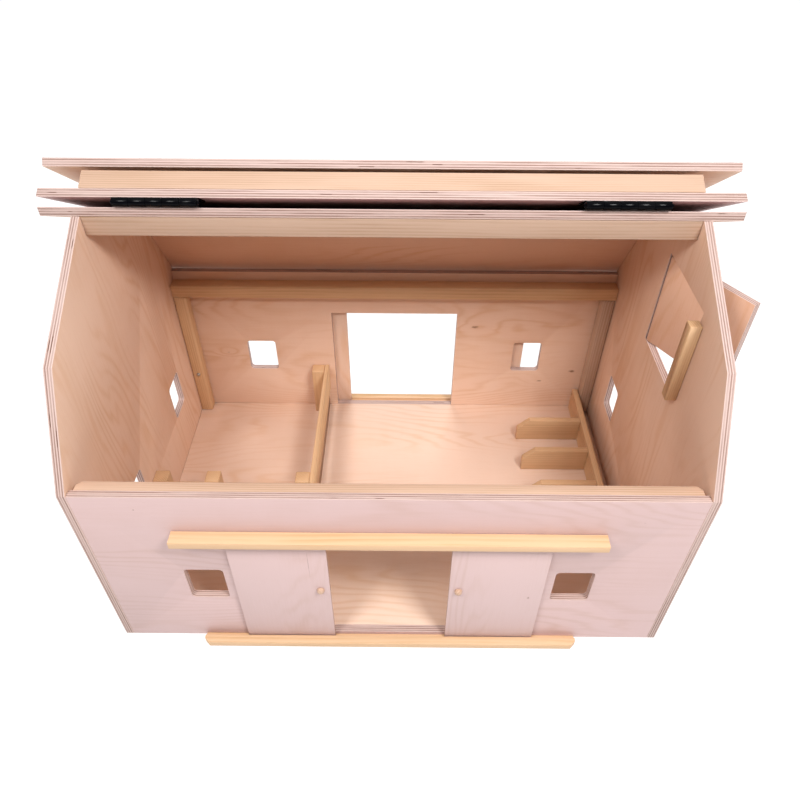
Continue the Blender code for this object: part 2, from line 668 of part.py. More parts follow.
def make_rack():
    base = FLOOR_TOP + GAP
    last = DIVIDER_FIRST_Y - (DIVIDER_COUNT - 1) * DIVIDER_PITCH
    box("rack_back_board", (RACK_FACE_X, last - RACK_BOARD / 2, base),
        (RACK_FACE_X + RACK_BOARD, RACK_REAR_Y, base + RACK_HEIGHT), "solid_wood", edge=0.0008)
    inner = RACK_FACE_X - GAP
    outer = inner - DIVIDER_LENGTH
    top = base + RACK_HEIGHT
    outline = [(outer, base), (inner, base), (inner, top), (outer + DIVIDER_CHAMFER, top),
               (outer, top - DIVIDER_CHAMFER)]
    for number in range(DIVIDER_COUNT):
        middle = DIVIDER_FIRST_Y - number * DIVIDER_PITCH
        flat_piece(f"rack_divider_{number + 1}", [outline], RACK_BOARD, wall_frame(middle), "solid_wood")


def build():
    ridge, knee = hinge_axes()
    make_gables()
    make_walls()
    make_battens_and_posts()
    make_fixed_roof()
    upper_axis = new_axis("ridge_axis", (0.0, ridge.x, ridge.y))
    lower_axis = new_axis("knee_axis", (0.0, knee.x, knee.y), upper_axis)
    make_folding_roof(upper_axis, lower_axis)
    make_hinges(upper_axis, lower_axis)
    make_tracks()
    make_sliding_doors()
    make_loft_door()
    make_fences()
    make_rack()
    upper_axis.rotation_euler.x = -ridge_fold()
    lower_axis.rotation_euler.x = knee_fold()
    bpy.context.view_layer.update()


clear_scene()
PARTS = new_collection("toy_barn")
TOOLS = new_collection("cutting_tools")
build()
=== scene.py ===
"""Looks of a toy barn in birch plywood whose front roof folds back over the rear one.

Run as a script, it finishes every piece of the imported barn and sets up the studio.
"""
import json
import math

import bmesh
import bpy
from mathutils import Matrix, Vector


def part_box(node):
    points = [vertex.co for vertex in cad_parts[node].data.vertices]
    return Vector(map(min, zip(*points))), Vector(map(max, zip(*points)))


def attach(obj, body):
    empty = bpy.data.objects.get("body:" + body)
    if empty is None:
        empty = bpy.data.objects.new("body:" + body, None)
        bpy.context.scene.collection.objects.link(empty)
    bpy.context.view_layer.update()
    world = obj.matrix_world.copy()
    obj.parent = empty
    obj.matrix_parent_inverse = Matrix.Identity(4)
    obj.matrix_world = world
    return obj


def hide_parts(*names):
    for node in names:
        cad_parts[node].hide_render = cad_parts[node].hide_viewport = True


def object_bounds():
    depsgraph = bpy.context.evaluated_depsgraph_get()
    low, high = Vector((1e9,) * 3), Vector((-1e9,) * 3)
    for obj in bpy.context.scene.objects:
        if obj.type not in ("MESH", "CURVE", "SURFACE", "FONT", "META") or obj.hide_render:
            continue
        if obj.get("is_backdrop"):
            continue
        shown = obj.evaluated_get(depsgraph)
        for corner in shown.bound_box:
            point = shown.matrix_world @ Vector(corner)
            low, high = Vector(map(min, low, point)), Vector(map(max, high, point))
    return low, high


bl_info = {
    "name": "Folding-roof toy barn",
    "version": (1, 0, 0),
    "blender": (4, 5, 0),
    "location": "View3D > Sidebar > Toy barn",
    "description": "Finishes the birch plywood toy barn and its studio",
    "category": "Object",
}

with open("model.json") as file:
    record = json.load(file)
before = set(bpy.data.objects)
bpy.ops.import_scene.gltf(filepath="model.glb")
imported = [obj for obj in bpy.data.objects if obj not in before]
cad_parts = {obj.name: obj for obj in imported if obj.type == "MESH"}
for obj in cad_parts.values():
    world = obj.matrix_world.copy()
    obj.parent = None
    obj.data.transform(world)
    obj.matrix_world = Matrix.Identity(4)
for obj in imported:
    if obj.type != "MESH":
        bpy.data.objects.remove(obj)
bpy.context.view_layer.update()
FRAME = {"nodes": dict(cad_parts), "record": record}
NODES = FRAME["nodes"]
BODY_OF = {name: body for body, names in FRAME["record"]["behaviour"]["bodies"].items() for name in names}
ALONG_X, ALONG_Y, ALONG_Z = Vector((1, 0, 0)), Vector((0, 1, 0)), Vector((0, 0, 1))
SHEET = 0.009                 # usual thickness of a panel
WELD = 0.000005               # corners nearer than this are one corner
FLAT = math.radians(0.5)      # faces that meet at less than this are one face
CRISP = math.radians(30)      # faces that meet at more than this keep a crisp edge
TURNED_CRISP = math.radians(50)
HINGE_CRISP = math.radians(35)
HINGE_EDGE = 0.0003           # width of the eased edges of a hinge leaf
HINGE_CORNER = math.radians(40)
SCREW_REACH = 0.6             # how far out on its leaf a row of screws sits
RIM_BAND = 0.0005             # points this near a leaf's far edge belong to it
KNOB_SEED = 31.0
GROWTH_LINES = 58.0           # across a metre of veneer, before they drift
LAYER_WAVE = 0.00035          # how far the layers wander up and down along an edge
FLOOR_REACH = 6.0             # from the barn to the floor's edge
FLOOR_DROP = 0.0002           # from the barn's underside to the floor
FRAME_WIDTH = 36.0            # of the camera, in millimetres

# Where each softbox hangs and how wide it is, in metres, and the place they all point at.
LAMPS = {"fill": ((-0.65, -0.85, 1.5), 0.4), "key": ((0.65, -0.85, 1.5), 0.4),
         "rear": ((0.1, 1.5, 1.5), 0.8)}
LAMP_TARGET = Vector((0.0, 0.0, 0.1))

# Grain direction, the way the face towards the room looks (that face takes the painted bounce colours), seed
# of the figure, layers and painted shade, a gamma that darkens the faces of panels that sit in shade and
# lightens the floor.
PANELS = {
    "left_gable": (ALONG_Z, ALONG_X, 1.3, 7, 1.12), "right_gable": (ALONG_Z, -ALONG_X, 5.9, 7, 1.15),
    "front_wall": (ALONG_X, ALONG_Y, 2.6, 7, 1.0), "rear_wall": (ALONG_X, -ALONG_Y, 8.2, 7, 1.08),
    "floor_panel": (ALONG_X, ALONG_Z, 4.4, 7, 0.92),
    "rear_upper_roof": (ALONG_X, -ALONG_Z, 3.1, 7, 1.0), "rear_lower_roof": (ALONG_X, -ALONG_Z, 6.7, 7, 1.4),
    "front_upper_roof": (ALONG_X, ALONG_Z, 9.5, 7, 1.0), "front_lower_roof": (ALONG_X, -ALONG_Z, 7.3, 7, 1.0),
    "loft_door": (ALONG_Z, -ALONG_X, 2.2, 7, 1.45),
    "front_left_door": (ALONG_Z, ALONG_Y, 0.7, 3, 0.96), "front_right_door": (ALONG_Z, ALONG_Y, 3.8, 3, 0.94),
    "rear_left_door": (ALONG_Z, -ALONG_Y, 6.1, 3, 1.0), "rear_right_door": (ALONG_Z, -ALONG_Y, 9.1, 3, 1.0),
}

# Grain direction, seed and colour set of each piece of solid wood; the kick rails' colour set is painted
# shade, a dark colour standing in for the shadow in the gap under the fence and gate boards.
STICKS = {
    "ridge_beam": (ALONG_X, 1.1, "birch"), "ridge_batten": (ALONG_X, 2.4, "alder"),
    "front_top_batten": (ALONG_X, 3.7, "alder"), "rear_top_batten": (ALONG_X, 4.2, "poplar"),
    "front_left_corner_post": (ALONG_Z, 5.5, "poplar"), "front_right_corner_post": (ALONG_Z, 6.3, "alder"),
    "rear_left_corner_post": (ALONG_Z, 7.8, "poplar"), "rear_right_corner_post": (ALONG_Z, 8.6, "birch"),
    "front_lower_track": (ALONG_X, 9.4, "pine"), "front_upper_track": (ALONG_X, 10.2, "pine"),
    "rear_lower_track": (ALONG_X, 11.9, "pine"), "rear_upper_track": (ALONG_X, 12.1, "pine"),
    "loft_stop_bar": (ALONG_Z, 13.6, "poplar"), "long_fence_front_post": (ALONG_Z, 14.4, "poplar"),
    "long_fence_rear_post": (ALONG_Z, 15.2, "poplar"), "long_fence_board": (ALONG_Y, 16.9, "poplar"),
    "gate_wall_post": (ALONG_Z, 17.3, "poplar"), "gate_post": (ALONG_Z, 18.8, "poplar"),
    "gate_board": (ALONG_X, 19.5, "poplar"), "rack_back_board": (ALONG_Y, 20.6, "poplar"),
    "rack_divider_1": (ALONG_X, 21.2, "poplar"), "rack_divider_2": (ALONG_X, 22.7, "poplar"),
    "rack_divider_3": (ALONG_X, 23.3, "poplar"), "rack_divider_4": (ALONG_X, 24.9, "poplar"),
    "long_fence_kick_rail": (ALONG_Y, 25.4, "stained"), "gate_kick_rail": (ALONG_X, 26.5, "stained"),
}

# Marks in upright panels: place along X, height, radius, length to width ratio, darkness, swirl round it.
MARKS = {
    "rear_wall": ((0.1235, 0.1706, 0.0022, 2.8, 0.75, 3.0), (0.2854, 0.0843, 0.0026, 2.2, 0.8, 3.2),
                  (0.2358, 0.0635, 0.0017, 2.4, 0.7, 2.2), (-0.262, 0.118, 0.0011, 2.2, 0.35, 1.4)),
    "front_right_door": ((0.1592, 0.0974, 0.0016, 1.6, 0.55, 0.6),),
    "front_left_door": ((-0.0883, 0.1590, 0.0005, 48.0, 0.45, 0.0),),
    "front_wall": ((-0.2581, 0.2465, 0.0008, 1.2, 0.9, 0.0), (0.262, 0.232, 0.0006, 3.0, 0.3, 0.0)),
}

HINGE_LEAVES = [name for name in NODES if name.endswith("_leaf")]
HINGE_PINS = [name for name in NODES if name.endswith("hinge_pin")]
KNOBS = [name for name in NODES if name.endswith("_knob")]
STEEL = ["corner_post_screw", "loft_door_lower_pin", "loft_door_upper_pin"]


# ---- settings a user would change ---------------------------------------------------------------
def colour_property(name, description, default):
    return bpy.props.FloatVectorProperty(name=name, description=description, subtype="COLOR", size=3,
                                         min=0.0, max=1.0, default=default)


def length_property(name, description, default):
    return bpy.props.FloatProperty(name=name, description=description, subtype="DISTANCE", unit="LENGTH",
                                   min=0.0, default=default)


def number_property(name, description, default, high=10.0):
    return bpy.props.FloatProperty(name=name, description=description, min=0.0, max=high, default=default)


class ToyBarnPlywood(bpy.types.PropertyGroup):
    """Birch plywood: its faces and the layers on its edges"""
    face_light: colour_property("Outside, light", "Outer veneer between its growth lines",
                                (0.665, 0.475, 0.458))
    face_dark: colour_property("Outside, dark", "Outer veneer on its growth lines", (0.560, 0.365, 0.310))
    # Painted bounce light: the colours of the faces towards the room are warmer and brighter than the outer
    # ones, for the warm shade of the light within the barn.
    painted_bounce_light: colour_property("Inside, painted bounce light", "Inner veneer between its growth lines, with painted bounce light",
                                (0.820, 0.585, 0.455))
    painted_bounce_dark: colour_property("Inside, painted bounce dark", "Inner veneer on its growth lines, with painted bounce light", (0.680, 0.390, 0.205))
    edge_light: colour_property("Light layer", "Layers cut along the grain", (0.680, 0.510, 0.460))
    edge_dark: colour_property("Dark layer", "Layers cut across the grain", (0.330, 0.200, 0.165))
    glue: colour_property("Glue line", "Glue between two layers", (0.150, 0.070, 0.045))
    knot: colour_property("Knot", "Heart of a knot", (0.200, 0.080, 0.035))
    eased_edge: length_property("Eased edge", "Width of the sanded edge of a panel", 0.0005)
    figure: number_property("Figure", "Strength of the growth lines on a face", 0.42, 1.0)


class ToyBarnSticks(bpy.types.PropertyGroup):
    """Battens, posts, rails and tracks in solid wood"""
    pine_light: colour_property("Pine, light", "Early wood of the door tracks", (0.760, 0.500, 0.300))
    pine_dark: colour_property("Pine, dark", "Late wood of the door tracks", (0.620, 0.370, 0.180))
    poplar_light: colour_property("Poplar, light", "Early wood of the posts, fences and rack",
                                  (0.680, 0.430, 0.240))
    poplar_dark: colour_property("Poplar, dark", "Late wood of the posts, fences and rack",
                                 (0.530, 0.300, 0.150))
    alder_light: colour_property("Alder, light", "Early wood of the battens", (0.620, 0.415, 0.300))
    alder_dark: colour_property("Alder, dark", "Late wood of the battens", (0.460, 0.275, 0.170))
    birch_light: colour_property("Birch, light", "Early wood of the beam and one post", (0.530, 0.360, 0.265))
    birch_dark: colour_property("Birch, dark", "Late wood of the beam and one post", (0.400, 0.245, 0.155))
    # Painted shade: the kick rails' dark colours stand in for the shadow in the gap under the fence and gate
    # boards.
    stained_light: colour_property("Stained, light", "Painted shade of the kick rails, early wood", (0.340, 0.190, 0.110))
    stained_dark: colour_property("Stained, dark", "Painted shade of the kick rails, late wood", (0.190, 0.095, 0.050))
    eased_edge: length_property("Eased edge", "Width of the eased edge of a stick", 0.0007)
    ring_width: length_property("Ring width", "Distance from one growth ring to the next", 0.0024)


class ToyBarnHinges(bpy.types.PropertyGroup):
    """Black enamelled hinges and their screws"""
    enamel: colour_property("Enamel", "Colour of the hinges and screws", (0.002, 0.002, 0.003))
    screws_per_leaf: bpy.props.IntProperty(name="Screws per leaf", description="Screws along one leaf",
                                           min=1, max=6, default=3)
    screw_spacing: length_property("Screw spacing", "Distance from one screw to the next", 0.028)
    screw_radius: length_property("Screw radius", "Radius of a screw's head", 0.0031)
    screw_height: length_property("Screw height", "Height of a screw's head", 0.0008)


class ToyBarnStudio(bpy.types.PropertyGroup):
    """Floor, lights and camera"""
    floor: colour_property("Floor", "How much of the light that falls on it the floor gives back",
                           (0.25, 0.25, 0.25))
    sky: number_property("Overhead light", "Strength of the soft light straight above", 0.72)
    horizon: number_property("Light from the sides", "Strength of the soft light at the horizon", 0.06)
    glow: number_property("Floor glow", "Light given off by the floor itself, as a light table", 0.90)
    key: number_property("Key softbox", "Power of the softbox on the right, in watts", 19.0, 500.0)
    fill: number_property("Fill softbox", "Power of the softbox on the left, in watts", 12.5, 500.0)
    rear: number_property("Rear softbox", "Power of the softbox behind, in watts", 14.0, 500.0)
    focal_length: number_property("Focal length", "Lens in millimetres on a 36 mm frame", 30.905, 200.0)
    eye: bpy.props.FloatVectorProperty(name="Camera place", description="Where the camera stands",
                                       subtype="TRANSLATION", unit="LENGTH", size=3,
                                       default=(0.0121, -0.6447, 0.7990))
    pitch: bpy.props.FloatProperty(name="Pitch", description="How far the camera looks down",
                                   subtype="ANGLE", default=math.radians(42.648))
    yaw: bpy.props.FloatProperty(name="Yaw", description="How far the camera looks to the right",
                                 subtype="ANGLE", default=math.radians(-0.196))
    roll: bpy.props.FloatProperty(name="Roll", description="How far the camera leans",
                                  subtype="ANGLE", default=math.radians(0.336))


# ---- mesh helpers -----------------------------------------------------------------------------
def merged_mesh(node):
    """The node's loose triangles as one clean shell with flat faces dissolved."""
    bm = bmesh.new()
    bm.from_mesh(NODES[node].data)
    bmesh.ops.remove_doubles(bm, verts=bm.verts, dist=WELD)
    bmesh.ops.dissolve_limit(bm, angle_limit=FLAT, verts=bm.verts, edges=bm.edges)
    return bm


def ease_edges(bm, width, segments=2, angle=math.radians(25)):
    sharp = [edge for edge in bm.edges if edge.is_manifold and edge.calc_face_angle(0.0) > angle]
    bmesh.ops.bevel(bm, geom=sharp, offset=width, offset_type="OFFSET", segments=segments, profile=0.5,
                    affect="EDGES", clamp_overlap=True)


def shade(mesh, angle):
    """Smooth shading, kept crisp where two faces meet at more than the angle."""
    for face in mesh.polygons:
        face.use_smooth = True
    mesh.set_sharp_from_angle(angle=angle)


def add_piece(name, bm, body, material, stands_for=(), smooth=CRISP):
    """A finished piece at the origin, riding on its body."""
    mesh = bpy.data.meshes.new(name)
    bm.to_mesh(mesh)
    bm.free()
    shade(mesh, smooth)
    mesh.materials.append(material)
    piece = bpy.data.objects.new(name, mesh)
    bpy.context.scene.collection.objects.link(piece)
    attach(piece, body)
    if stands_for:
        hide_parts(*stands_for)
    return piece


def widest_normal(mesh):
    """The normal of the piece's broad face."""
    totals = {}
    for face in mesh.polygons:
        normal = face.normal if (face.normal.x, face.normal.y, face.normal.z) > (0, 0, 0) else -face.normal
        key = tuple(round(value, 2) + 0.0 for value in normal)
        area, total = totals.get(key, (0.0, Vector()))
        totals[key] = (area + face.area, total + normal * face.area)
    return max(totals.values(), key=lambda entry: entry[0])[1].normalized()


def grain_frame(mesh, grain, towards=None):
    """The turn and shift that bring a piece's grain to X and its thickness to Z, centred on the piece."""
    thickness = widest_normal(mesh)
    if towards is not None and thickness.dot(towards) < 0:
        thickness = -thickness
    along = (grain - thickness * grain.dot(thickness)).normalized()
    across = thickness.cross(along)
    turn = Matrix((along, across, thickness))
    corners = [vertex.co for vertex in mesh.vertices]
    middle = []
    for axis in (along, across, thickness):
        spread = [corner.dot(axis) for corner in corners]
        middle.append((min(spread) + max(spread)) / 2)
    return turn.to_euler(), Vector(middle)


# ---- node helpers -----------------------------------------------------------------------------
class Recipe:
    """Adds nodes to a tree and joins them."""

    def __init__(self, tree):
        self.tree = tree

    def add(self, kind, inputs=None, **settings):
        made = self.tree.nodes.new(kind)
        for name, value in settings.items():
            setattr(made, name, value)
        for name, value in (inputs or {}).items():
            socket = made.inputs[name]
            if isinstance(value, bpy.types.NodeSocket):
                self.tree.links.new(value, socket)
            else:
                socket.default_value = value
        return made

    def math(self, operation, first, second=0.0, third=0.0, clamp=False):
        return self.add("ShaderNodeMath", {0: first, 1: second, 2: third}, operation=operation,
                        use_clamp=clamp).outputs[0]

    def vector(self, operation, first, second=(0.0, 0.0, 0.0)):
        return self.add("ShaderNodeVectorMath", {0: first, 1: second}, operation=operation).outputs[0]

    def noise(self, vector, stretch, seed=0.0, detail=2.0, roughness=0.5):
        given = {"Vector": self.vector("MULTIPLY", vector, stretch), "W": seed, "Scale": 1.0,
                 "Detail": detail, "Roughness": roughness}
        return self.add("ShaderNodeTexNoise", given, noise_dimensions="4D").outputs[0]

    def ramp(self, value, low, high, start=0.0, end=1.0):
        return self.add("ShaderNodeMapRange", {0: value, 1: low, 2: high, 3: start, 4: end},
                        interpolation_type="SMOOTHSTEP").outputs[0]

    def mix(self, factor, first, second, blend="MIX"):
        made = self.add("ShaderNodeMix", {0: factor, 6: first, 7: second}, data_type="RGBA",
                        blend_type=blend)
        made.clamp_factor = True
        return made.outputs[2]


def start_group(name, inputs, outputs):
    """A node group with the sockets named, each as (name, kind, default)."""
    tree = bpy.data.node_groups.new(name, "ShaderNodeTree")
    for label, kind, default in inputs:
        socket = tree.interface.new_socket(label, in_out="INPUT", socket_type=kind)
        if default is not None:
            socket.default_value = default
    for label, kind in outputs:
        tree.interface.new_socket(label, in_out="OUTPUT", socket_type=kind)
    recipe = Recipe(tree)
    return tree, recipe, recipe.add("NodeGroupInput").outputs, recipe.add("NodeGroupOutput").inputs


def birch_plywood_group():
    """Rotary-cut birch veneer on the broad faces, and the stack of layers on the edges."""
    colour, value, vector = "NodeSocketColor", "NodeSocketFloat", "NodeSocketVector"
    tree, do, given, out = start_group("Birch plywood", (
        ("Place", vector, None), ("Facing", vector, None), ("Seed", value, 0.0),
        ("Thickness", value, SHEET), ("Layers", value, 7.0), ("Tone", value, 1.0),
        ("Figure", value, 0.42), ("Swirl", value, 0.0), ("Knot", value, 0.0),
        ("Face light", colour, None), ("Face dark", colour, None),
        ("Room light", colour, None), ("Room dark", colour, None),
        ("Edge light", colour, None), ("Edge dark", colour, None), ("Glue", colour, None),
        ("Knot colour", colour, None)), (("Colour", colour), ("Roughness", value), ("Height", value)))
    place, seed = given["Place"], given["Seed"]
    parts = do.add("ShaderNodeSeparateXYZ", {0: place}).outputs
    flat = do.vector("MULTIPLY", place, (1.0, 1.0, 0.0))

    drift = do.noise(flat, (1.5, 6.5, 0.0), seed, 2.0)
    ripple = do.noise(flat, (7.0, 55.0, 0.0), seed, 2.0)
    phase = do.math("MULTIPLY_ADD", parts["Y"], GROWTH_LINES, do.math("MULTIPLY", drift, 30.0))
    phase = do.math("ADD", phase, do.math("MULTIPLY", ripple, 2.0))
    phase = do.math("ADD", phase, given["Swirl"])
    ring = do.math("MULTIPLY_ADD", do.math("SINE", do.math("MULTIPLY", phase, 2 * math.pi)), 0.5, 0.5)
    ring = do.math("POWER", ring, 2.6)
    where = do.ramp(do.noise(flat, (3.5, 14.0, 0.0), do.math("ADD", seed, 4.0), 2.0), 0.38, 0.66, 0.05, 1.0)
    ring = do.math("MULTIPLY", ring, where)
    fibre = do.noise(flat, (22.0, 620.0, 0.0), seed, 4.0, 0.62)
    silk = do.noise(flat, (60.0, 14.0, 0.0), seed, 2.0)
    blotch = do.noise(flat, (5.0, 11.0, 0.0), do.math("ADD", seed, 9.0), 2.0)
    fleck = do.ramp(do.noise(flat, (130.0, 1500.0, 0.0), seed, 1.0), 0.66, 0.74)
    depth = do.math("MULTIPLY", ring, given["Figure"])
    depth = do.math("MULTIPLY_ADD", do.math("SUBTRACT", fibre, 0.5), 0.42, depth)
    depth = do.math("MULTIPLY_ADD", do.math("SUBTRACT", silk, 0.5), 0.16, depth)
    depth = do.math("MULTIPLY_ADD", do.math("SUBTRACT", blotch, 0.42), 0.62, depth)
    depth = do.math("MULTIPLY_ADD", fleck, 0.22, depth, clamp=True)
    # Faces towards the room take the painted bounce colours, which paint in the warm shade of the light
    # within the barn.
    facing = do.add("ShaderNodeSeparateXYZ", {0: given["Facing"]}).outputs["Z"]
    bounce_side = do.ramp(facing, -0.5, 0.5)
    light = do.mix(bounce_side, given["Face light"], given["Room light"])
    face = do.mix(depth, light, do.mix(bounce_side, given["Face dark"], given["Room dark"]))
    # Painted shade and light: each panel's gamma darkens the faces of panels that sit in shade and lightens
    # the floor.
    face = do.add("ShaderNodeGamma", {"Color": face, "Gamma": given["Tone"]}).outputs[0]
    face = do.mix(given["Knot"], face, given["Knot colour"])

    wobble = do.math("MULTIPLY", do.noise(flat, (35.0, 35.0, 0.0), seed, 2.0), LAYER_WAVE)
    level = do.math("ADD", parts["Z"], do.math("SUBTRACT", wobble, LAYER_WAVE / 2))
    level = do.math("DIVIDE", level, given["Thickness"])
    level = do.math("MULTIPLY", do.math("ADD", level, 0.5), given["Layers"])
    layer = do.math("FLOOR", level)
    within = do.math("SUBTRACT", level, layer)
    cross = do.math("ABSOLUTE", do.math("MODULO", layer, 2.0))
    seam = do.math("MINIMUM", within, do.math("SUBTRACT", 1.0, within))
    seam = do.ramp(seam, 0.02, 0.13, 1.0, 0.0)
    streak = do.noise(place, (120.0, 120.0, 3200.0), seed, 3.0, 0.6)
    stack = do.add("ShaderNodeCombineXYZ", {0: do.math("MULTIPLY", parts["X"], 11.0),
                                            1: do.math("MULTIPLY", parts["Y"], 11.0),
                                            2: do.math("MULTIPLY", layer, 2.7)}).outputs[0]
    uneven = do.noise(stack, (1.0, 1.0, 1.0), do.math("ADD", seed, 2.0), 1.0)
    spots = do.vector("MULTIPLY", stack, (2.6, 2.6, 2.1))
    gap = do.noise(spots, (1.0, 1.0, 1.0), do.math("ADD", seed, 6.0), 1.0)
    gap = do.math("MULTIPLY", do.ramp(gap, 0.665, 0.70), cross)
    from_core = do.math("ABSOLUTE", do.math("SUBTRACT", within, 0.5))
    gap = do.math("MULTIPLY", gap, do.ramp(from_core, 0.25, 0.42, 1.0, 0.0))
    shade_of = do.math("MULTIPLY_ADD", cross, do.ramp(uneven, 0.30, 0.62, 0.30, 0.90), 0.08)
    shade_of = do.math("MULTIPLY_ADD", do.math("SUBTRACT", streak, 0.5), 0.75, shade_of, clamp=True)
    edge = do.mix(shade_of, given["Edge light"], given["Edge dark"])
    edge = do.mix(do.math("MULTIPLY", seam, 0.42), edge, given["Glue"])
    edge = do.mix(do.math("MULTIPLY", gap, 0.9), edge, given["Glue"])

    broad = do.ramp(do.math("ABSOLUTE", facing), 0.72, 0.9)
    do.tree.links.new(do.mix(broad, edge, face), out["Colour"])
    rough = do.math("MULTIPLY_ADD", fibre, 0.16, 0.46)
    rough = do.math("MULTIPLY_ADD", do.math("SUBTRACT", 1.0, broad), 0.12, rough)
    do.tree.links.new(rough, out["Roughness"])
    face_height = do.math("MULTIPLY_ADD", ring, -0.25, do.math("MULTIPLY", fibre, 0.6))
    edge_height = do.math("MULTIPLY_ADD", streak, 0.8, do.math("MULTIPLY", gap, -2.0))
    height = do.add("ShaderNodeMix", {0: broad, 2: edge_height, 3: face_height}, data_type="FLOAT").outputs[0]
    do.tree.links.new(height, out["Height"])
    return tree


def solid_wood_group():
    """Straight-grained solid wood: rings about a pith outside the piece, and fine pores."""
    colour, value, vector = "NodeSocketColor", "NodeSocketFloat", "NodeSocketVector"
    tree, do, given, out = start_group("Solid wood", (
        ("Place", vector, None), ("Seed", value, 0.0), ("Ring width", value, 0.0024), ("Light", colour, None),
        ("Dark", colour, None)), (("Colour", colour), ("Roughness", value), ("Height", value)))
    place, seed = given["Place"], given["Seed"]
    bend = do.noise(place, (2.5, 12.0, 12.0), seed, 2.0)
    parts = do.add("ShaderNodeSeparateXYZ", {0: place}).outputs
    pith = do.math("SINE", do.math("MULTIPLY", seed, 2.1))
    side = do.math("ADD", parts["Y"], do.math("MULTIPLY", pith, 0.045))
    below = do.math("MULTIPLY_ADD", do.math("COSINE", do.math("MULTIPLY", seed, 1.3)), 0.02, 0.05)
    rise = do.math("ADD", parts["Z"], below)
    around = do.math("SQRT", do.math("ADD", do.math("MULTIPLY", side, side), do.math("MULTIPLY", rise, rise)))
    around = do.math("MULTIPLY_ADD", do.math("SUBTRACT", bend, 0.5), 0.008, around)
    ring = do.math("FRACT", do.math("DIVIDE", around, given["Ring width"]))
    late = do.math("MULTIPLY", do.ramp(ring, 0.15, 0.86), do.ramp(ring, 0.88, 1.0, 1.0, 0.0))
    uneven = do.noise(place, (7.0, 60.0, 60.0), do.math("ADD", seed, 3.0), 2.0)
    fibre = do.noise(place, (26.0, 900.0, 900.0), seed, 4.0, 0.62)
    depth = do.math("MULTIPLY", late, do.ramp(uneven, 0.3, 0.7, 0.15, 0.75))
    depth = do.math("MULTIPLY_ADD", do.math("SUBTRACT", fibre, 0.5), 0.75, depth)
    depth = do.math("MULTIPLY_ADD", do.math("SUBTRACT", uneven, 0.5), 0.5, depth, clamp=True)
    do.tree.links.new(do.mix(depth, given["Light"], given["Dark"]), out["Colour"])
    do.tree.links.new(do.math("MULTIPLY_ADD", fibre, 0.18, 0.42), out["Roughness"])
    do.tree.links.new(do.math("MULTIPLY_ADD", late, -0.3, fibre), out["Height"])
    return tree


def wood_shader(name, group, turn, middle, values):
    """A material that lays one of the wood groups on a piece along its own grain."""
    made = bpy.data.materials.new(name)
    made.use_nodes = True
    do = Recipe(made.node_tree)
    shader = made.node_tree.nodes["Principled BSDF"]
    coordinates = do.add("ShaderNodeTexCoord").outputs
    centred = {"Vector": coordinates["Object"], "Location": -middle, "Rotation": turn}
    place = do.add("ShaderNodeMapping", centred, vector_type="POINT").outputs[0]
    layer = do.add("ShaderNodeGroup", {}, node_tree=group)
    made.node_tree.links.new(place, layer.inputs["Place"])
    if "Facing" in layer.inputs:
        facing = do.add("ShaderNodeMapping", {"Vector": coordinates["Normal"], "Rotation": turn},
                        vector_type="VECTOR").outputs[0]
        made.node_tree.links.new(facing, layer.inputs["Facing"])
    for label, value in values.items():
        layer.inputs[label].default_value = value
    made.node_tree.links.new(layer.outputs["Colour"], shader.inputs["Base Color"])
    made.node_tree.links.new(layer.outputs["Roughness"], shader.inputs["Roughness"])
    relief = do.add("ShaderNodeBump", {"Height": layer.outputs["Height"], "Strength": 0.35,
                                       "Distance": 0.0003})
    made.node_tree.links.new(relief.outputs[0], shader.inputs["Normal"])
    shader.inputs["Specular IOR Level"].default_value = 0.35
    return made, do, place, layer


def add_marks(do, place, layer, marks):
    """Knots and small marks, each as (along, across, radius, length to width, darkness, swirl)."""
    parts = do.add("ShaderNodeSeparateXYZ", {0: place}).outputs
    heart, swirl = 0.0, 0.0
    for along, across, radius, length, darkness, turning in marks:
        near = do.math("DIVIDE", do.math("SUBTRACT", parts["X"], along), length)
        beside = do.math("SUBTRACT", parts["Y"], across)
        squares = do.math("ADD", do.math("MULTIPLY", near, near), do.math("MULTIPLY", beside, beside))
        away = do.math("SQRT", squares)
        ragged = do.noise(place, (180.0, 420.0, 0.0), along * 50, 2.0)
        rough = do.math("MULTIPLY_ADD", do.math("SUBTRACT", ragged, 0.5), radius * 1.3, away)
        heart = do.math("ADD", heart, do.ramp(rough, radius * 0.15, radius * 1.2, darkness, 0.0), clamp=True)
        if turning:
            swirl = do.math("ADD", swirl, do.ramp(away, 0.0, radius * 12, turning, 0.0))
    do.tree.links.new(heart, layer.inputs["Knot"])
    if swirl:
        do.tree.links.new(swirl, layer.inputs["Swirl"])


def tint(settings, name):
    return (*getattr(settings, name), 1.0)


def enamel_material(settings):
    """Gloss black enamel with a faint orange peel."""
    made = bpy.data.materials.get("Gloss black enamel")
    if made:
        return made
    made = bpy.data.materials.new("Gloss black enamel")
    made.use_nodes = True
    do = Recipe(made.node_tree)
    shader = made.node_tree.nodes["Principled BSDF"]
    place = do.add("ShaderNodeTexCoord").outputs["Object"]
    peel = do.noise(place, (900.0, 900.0, 900.0), 1.0, 2.0)
    smear = do.noise(place, (70.0, 200.0, 200.0), 5.0, 3.0)
    made.node_tree.links.new(do.math("MULTIPLY_ADD", smear, 0.10, 0.08), shader.inputs["Roughness"])
    base = tint(settings, "enamel")
    worn = tuple(channel + 0.004 for channel in base[:3]) + (1.0,)
    made.node_tree.links.new(do.mix(do.ramp(smear, 0.45, 0.75), base, worn), shader.inputs["Base Color"])
    relief = do.add("ShaderNodeBump", {"Height": peel, "Strength": 0.05, "Distance": 0.0002})
    made.node_tree.links.new(relief.outputs[0], shader.inputs["Normal"])
    shader.inputs["Specular IOR Level"].default_value = 0.06
    return made


